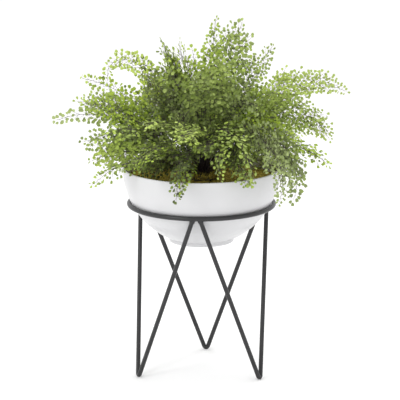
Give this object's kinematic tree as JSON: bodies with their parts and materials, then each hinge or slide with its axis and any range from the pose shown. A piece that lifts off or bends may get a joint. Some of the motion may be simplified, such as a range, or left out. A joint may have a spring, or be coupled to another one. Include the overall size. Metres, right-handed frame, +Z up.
{
  "type": "potted fern",
  "caption": "Maidenhair fern with arching fronds in a round white bowl, nested in a black wire ring stand on hairpin legs.",
  "frame": {"origin": "on the pot's vertical axis, on the floor under the stand", "axes": "+Z up; -Y is the front, from which one rod joint of the stand faces the viewer; +X is the viewer's right"},
  "size_m": [0.5785, 0.5212, 0.722],
  "materials": {
    "stand_paint": "satin black powder coat on round steel rod",
    "bowl_glaze": "smooth satin white glaze",
    "potting_mix": "dark crumbly bark and peat potting mix",
    "moss": "matte olive-brown cushion moss",
    "crown": "dark brown fibrous crown",
    "fern_leaf": "soft matte green leaflets on thin dark wiry stalks"
  },
  "bodies": {
    "root": {"stand_ring": "stand_paint", "leg_back": "stand_paint", "leg_front_left": "stand_paint", "leg_front_right": "stand_paint", "bowl": "bowl_glaze", "potting_soil": "potting_mix", "moss": "moss", "crown": "crown", "frond_01": "fern_leaf", "frond_02": "fern_leaf", "frond_03": "fern_leaf", "frond_04": "fern_leaf", "frond_05": "fern_leaf", "frond_06": "fern_leaf", "frond_07": "fern_leaf", "frond_08": "fern_leaf", "frond_09": "fern_leaf", "frond_10": "fern_leaf", "frond_11": "fern_leaf", "frond_12": "fern_leaf", "frond_13": "fern_leaf", "frond_14": "fern_leaf", "frond_15": "fern_leaf", "frond_16": "fern_leaf", "frond_17": "fern_leaf", "frond_18": "fern_leaf", "frond_19": "fern_leaf", "frond_20": "fern_leaf", "frond_21": "fern_leaf", "frond_22": "fern_leaf", "frond_23": "fern_leaf", "frond_24": "fern_leaf", "frond_25": "fern_leaf", "frond_26": "fern_leaf", "frond_27": "fern_leaf", "frond_28": "fern_leaf", "frond_29": "fern_leaf", "frond_30": "fern_leaf", "frond_31": "fern_leaf", "frond_32": "fern_leaf", "frond_33": "fern_leaf", "frond_34": "fern_leaf", "frond_35": "fern_leaf", "frond_36": "fern_leaf", "frond_37": "fern_leaf", "frond_38": "fern_leaf", "frond_39": "fern_leaf", "frond_40": "fern_leaf", "frond_41": "fern_leaf", "frond_42": "fern_leaf", "frond_43": "fern_leaf", "frond_44": "fern_leaf", "frond_45": "fern_leaf", "frond_46": "fern_leaf", "frond_47": "fern_leaf", "frond_48": "fern_leaf", "frond_49": "fern_leaf", "frond_50": "fern_leaf", "frond_51": "fern_leaf", "frond_52": "fern_leaf"}
  },
  "joints": []
}
